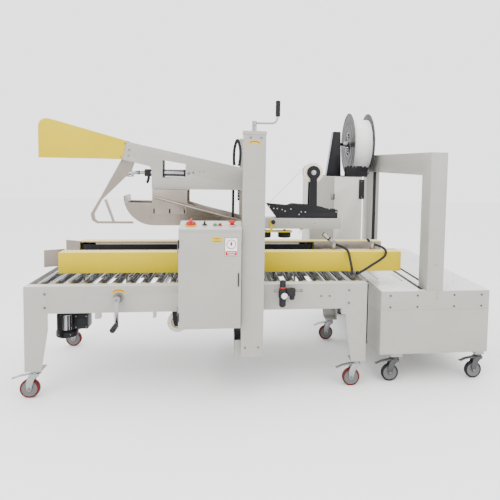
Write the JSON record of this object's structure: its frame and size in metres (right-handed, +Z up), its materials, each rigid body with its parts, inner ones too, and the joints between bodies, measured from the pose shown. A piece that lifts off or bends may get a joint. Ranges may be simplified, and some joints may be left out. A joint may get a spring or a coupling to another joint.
{
  "type": "carton sealer machine",
  "caption": "Carton sealing line: a roller bed with side belts, a crank-raised flap-folding and taping head, and an arch strapping unit with a strap reel.",
  "frame": {"origin": "on the floor, under the middle of the outer box", "axes": "+X along the carton travel from the infeed to the strapping unit, +Y from the control side to the far side, +Z up"},
  "size_m": [2.6094, 1.654, 1.6519],
  "materials": {
    "grey_paint": "warm light grey powder coat",
    "yellow_paint": "yellow powder coat",
    "black_paint": "black powder coat",
    "black_plastic": "black moulded plastic",
    "stainless": "brushed stainless sheet",
    "bright_steel": "plated or ground steel",
    "belt_rubber": "black rubber",
    "red_plastic": "red moulded plastic",
    "green_plastic": "green moulded plastic",
    "sealing_tape": "wound sealing tape on its core",
    "strap_plastic": "wound white plastic strap",
    "zinc_plate": "zinc plated pressed steel",
    "red_tyre": "dark red polyurethane tyre"
  },
  "bodies": {
    "machine": {"bed_rails": "grey_paint", "bed_legs": "grey_paint", "bed_rollers": "bright_steel", "mast_columns": "grey_paint", "control_box": "grey_paint", "drive_motor": "black_paint", "lower_tape_head": "black_paint", "air_regulator": "black_plastic", "strapper_base": "grey_paint", "strapper_arch": "grey_paint", "strap_cabinet": "grey_paint", "reel_stand": "black_paint"},
    "head": {"head_crossbeam": "grey_paint", "head_beam": "grey_paint", "head_guard": "yellow_paint", "ski_presser": "stainless", "upper_tape_head": "black_paint", "press_frame": "yellow_paint", "hose_loop": "black_plastic"},
    "kicker": {"kicker_lever": "stainless"},
    "cylinder": {"kicker_cylinder": "bright_steel"},
    "rod": {"kicker_rod": "bright_steel"},
    "upper_roll": {"upper_tape_roll": "sealing_tape"},
    "lower_roll": {"lower_tape_roll": "sealing_tape"},
    "front_press": {"press_roller_front": "belt_rubber"},
    "rear_press": {"press_roller_rear": "belt_rubber"},
    "head_screw": {"head_crank": "bright_steel"},
    "rear_lead_screw": {"rear_screw": "bright_steel"},
    "near_unit": {"near_belt_cover": "yellow_paint", "near_belt_frame": "stainless", "near_belt": "belt_rubber", "sensor_leads": "black_plastic"},
    "near_drive": {"near_pulley": "bright_steel"},
    "far_unit": {"far_belt_cover": "yellow_paint", "far_belt_frame": "stainless", "far_belt": "belt_rubber"},
    "far_drive": {"far_pulley": "bright_steel"},
    "width_screw": {"width_crank": "bright_steel"},
    "power_switch": {"main_switch": "red_plastic"},
    "mode_knob": {"mode_selector": "black_plastic"},
    "start": {"start_button": "green_plastic"},
    "stop": {"stop_button": "red_plastic"},
    "estop": {"emergency_stop": "red_plastic"},
    "box_door": {"control_door": "grey_paint"},
    "air_knob": {"regulator_knob": "black_plastic"},
    "store_door": {"cabinet_door": "grey_paint"},
    "reel": {"strap_reel": "black_plastic", "strap_coil": "strap_plastic"},
    "swivel_front_left": {"caster_fork_front_left": "zinc_plate"},
    "wheel_front_left": {"caster_wheel_front_left": "red_tyre"},
    "strapper_swivel_front_left": {"strapper_caster_front_left": "zinc_plate"},
    "swivel_front_right": {"caster_fork_front_right": "zinc_plate"},
    "wheel_front_right": {"caster_wheel_front_right": "red_tyre"},
    "strapper_swivel_front_right": {"strapper_caster_front_right": "zinc_plate"},
    "swivel_rear_left": {"caster_fork_rear_left": "zinc_plate"},
    "wheel_rear_left": {"caster_wheel_rear_left": "red_tyre"},
    "strapper_swivel_rear_left": {"strapper_caster_rear_left": "zinc_plate"},
    "swivel_rear_right": {"caster_fork_rear_right": "zinc_plate"},
    "wheel_rear_right": {"caster_wheel_rear_right": "red_tyre"},
    "strapper_swivel_rear_right": {"strapper_caster_rear_right": "zinc_plate"}
  },
  "joints": [
    {"name": "head_crank_turn", "type": "hinge", "parent": "machine", "child": "head_screw", "pos_m": [-0.06825, -0.691, 1.456], "axis": [0, 0, 1], "range_deg": [-4320, 5400]},
    {"name": "rear_screw_turn", "type": "hinge", "parent": "machine", "child": "rear_lead_screw", "pos_m": [-0.06825, 0.219, 1.313], "axis": [0, 0, 1], "range_deg": [-4320, 5400]},
    {"name": "head_lift", "type": "slide", "parent": "machine", "child": "head", "axis": [0, 0, 1], "range_m": [-0.12, 0.15]},
    {"name": "kicker_swing", "type": "hinge", "parent": "head", "child": "kicker", "pos_m": [-0.77625, -0.236, 1.275], "axis": [0, 1, 0], "range_deg": [0, 40]},
    {"name": "cylinder_tilt", "type": "hinge", "parent": "head", "child": "cylinder", "pos_m": [-0.43325, -0.236, 1.178], "axis": [0, 1, 0], "range_deg": [0, 3.5]},
    {"name": "rod_slide", "type": "slide", "parent": "cylinder", "child": "rod", "axis": [1, 0, 0], "range_m": [-0.069, 0]},
    {"name": "upper_roll_spin", "type": "hinge", "parent": "head", "child": "upper_roll", "pos_m": [0.31975, -0.236, 1.196], "axis": [0, 1, 0], "continuous": true},
    {"name": "lower_roll_spin", "type": "hinge", "parent": "machine", "child": "lower_roll", "pos_m": [-0.49725, -0.236, 0.272], "axis": [0, 1, 0], "continuous": true},
    {"name": "front_press_spin", "type": "hinge", "parent": "head", "child": "front_press", "pos_m": [0.02475, -0.236, 0.808], "axis": [0, 0, 1], "continuous": true},
    {"name": "rear_press_spin", "type": "hinge", "parent": "head", "child": "rear_press", "pos_m": [0.14875, -0.236, 0.808], "axis": [0, 0, 1], "continuous": true},
    {"name": "width_crank_turn", "type": "hinge", "parent": "machine", "child": "width_screw", "pos_m": [-0.76025, -0.701, 0.535], "axis": [0, 1, 0], "range_deg": [-2880, 3960]},
    {"name": "near_unit_slide", "type": "slide", "parent": "machine", "child": "near_unit", "axis": [0, 1, 0], "range_m": [-0.11, 0.08]},
    {"name": "far_unit_slide", "type": "slide", "parent": "machine", "child": "far_unit", "axis": [0, 1, 0], "range_m": [-0.08, 0.11]},
    {"name": "near_pulley_spin", "type": "hinge", "parent": "near_unit", "child": "near_drive", "pos_m": [0.31275, -0.423, 0.6825], "axis": [0, 0, 1], "continuous": true},
    {"name": "far_pulley_spin", "type": "hinge", "parent": "far_unit", "child": "far_drive", "pos_m": [0.31275, -0.049, 0.6825], "axis": [0, 0, 1], "continuous": true},
    {"name": "main_switch_turn", "type": "hinge", "parent": "machine", "child": "power_switch", "pos_m": [-0.39025, -0.6879, 0.92737], "axis": [0, -0.1896, 0.9819], "range_deg": [0, 90]},
    {"name": "mode_selector_turn", "type": "hinge", "parent": "machine", "child": "mode_knob", "pos_m": [-0.32025, -0.6879, 0.92737], "axis": [0, -0.1896, 0.9819], "range_deg": [-45, 45]},
    {"name": "start_press", "type": "slide", "parent": "machine", "child": "start", "axis": [0, 0.1896, -0.9819], "range_m": [0, 0.004], "stiffness_N_per_m": 500, "springref_m": -0.003},
    {"name": "stop_press", "type": "slide", "parent": "machine", "child": "stop", "axis": [0, 0.1896, -0.9819], "range_m": [0, 0.004], "stiffness_N_per_m": 500, "springref_m": -0.003},
    {"name": "emergency_press", "type": "slide", "parent": "machine", "child": "estop", "axis": [0, 0.1896, -0.9819], "range_m": [0, 0.004], "stiffness_N_per_m": 1500, "springref_m": -0.002},
    {"name": "control_door_swing", "type": "hinge", "parent": "machine", "child": "box_door", "pos_m": [-0.44725, -0.7558, 0.639], "axis": [0, 0, -1], "range_deg": [0, 110]},
    {"name": "cabinet_door_swing", "type": "hinge", "parent": "machine", "child": "store_door", "pos_m": [0.57975, 0.3442, 0.8505], "axis": [0, 0, -1], "range_deg": [0, 85]},
    {"name": "regulator_knob_turn", "type": "hinge", "parent": "machine", "child": "air_knob", "pos_m": [0.09375, -0.707, 0.6], "axis": [0, 0, 1], "range_deg": [-540, 540]},
    {"name": "reel_spin", "type": "hinge", "parent": "machine", "child": "reel", "pos_m": [0.80875, 0.599, 1.408], "axis": [1, 0, 0], "continuous": true},
    {"name": "caster_swivel_front_left", "type": "hinge", "parent": "machine", "child": "swivel_front_left", "pos_m": [-1.18675, -0.6195, 0.143], "axis": [0, 0, 1], "continuous": true},
    {"name": "caster_roll_front_left", "type": "hinge", "parent": "swivel_front_left", "child": "wheel_front_left", "pos_m": [-1.21675, -0.6195, 0.05], "axis": [0, 1, 0], "continuous": true},
    {"name": "strapper_swivel_front_left", "type": "hinge", "parent": "machine", "child": "strapper_swivel_front_left", "pos_m": [0.77075, -0.579, 0.143], "axis": [0, 0, 1], "continuous": true},
    {"name": "caster_swivel_front_right", "type": "hinge", "parent": "machine", "child": "swivel_front_right", "pos_m": [0.53025, -0.6195, 0.143], "axis": [0, 0, 1], "continuous": true},
    {"name": "caster_roll_front_right", "type": "hinge", "parent": "swivel_front_right", "child": "wheel_front_right", "pos_m": [0.50025, -0.6195, 0.05], "axis": [0, 1, 0], "continuous": true},
    {"name": "strapper_swivel_front_right", "type": "hinge", "parent": "machine", "child": "strapper_swivel_front_right", "pos_m": [1.28275, -0.579, 0.143], "axis": [0, 0, 1], "continuous": true},
    {"name": "caster_swivel_rear_left", "type": "hinge", "parent": "machine", "child": "swivel_rear_left", "pos_m": [-1.18675, 0.1475, 0.143], "axis": [0, 0, 1], "continuous": true},
    {"name": "caster_roll_rear_left", "type": "hinge", "parent": "swivel_rear_left", "child": "wheel_rear_left", "pos_m": [-1.21675, 0.1475, 0.05], "axis": [0, 1, 0], "continuous": true},
    {"name": "strapper_swivel_rear_left", "type": "hinge", "parent": "machine", "child": "strapper_swivel_rear_left", "pos_m": [0.77075, 0.749, 0.143], "axis": [0, 0, 1], "continuous": true},
    {"name": "caster_swivel_rear_right", "type": "hinge", "parent": "machine", "child": "swivel_rear_right", "pos_m": [0.53025, 0.1475, 0.143], "axis": [0, 0, 1], "continuous": true},
    {"name": "caster_roll_rear_right", "type": "hinge", "parent": "swivel_rear_right", "child": "wheel_rear_right", "pos_m": [0.50025, 0.1475, 0.05], "axis": [0, 1, 0], "continuous": true},
    {"name": "strapper_swivel_rear_right", "type": "hinge", "parent": "machine", "child": "strapper_swivel_rear_right", "pos_m": [1.28275, 0.749, 0.143], "axis": [0, 0, 1], "continuous": true}
  ],
  "couplings": [
    {"joint": "head_lift", "follows": "head_crank_turn", "m_per_rad": 0.0015915},
    {"joint": "rear_screw_turn", "follows": "head_crank_turn", "ratio": 1},
    {"joint": "near_unit_slide", "follows": "width_crank_turn", "m_per_rad": -0.0015915},
    {"joint": "far_unit_slide", "follows": "width_crank_turn", "m_per_rad": 0.0015915},
    {"joint": "cylinder_tilt", "follows": "kicker_swing", "ratio": 0.0875},
    {"joint": "rod_slide", "follows": "kicker_swing", "m_per_rad": -0.098518}
  ]
}
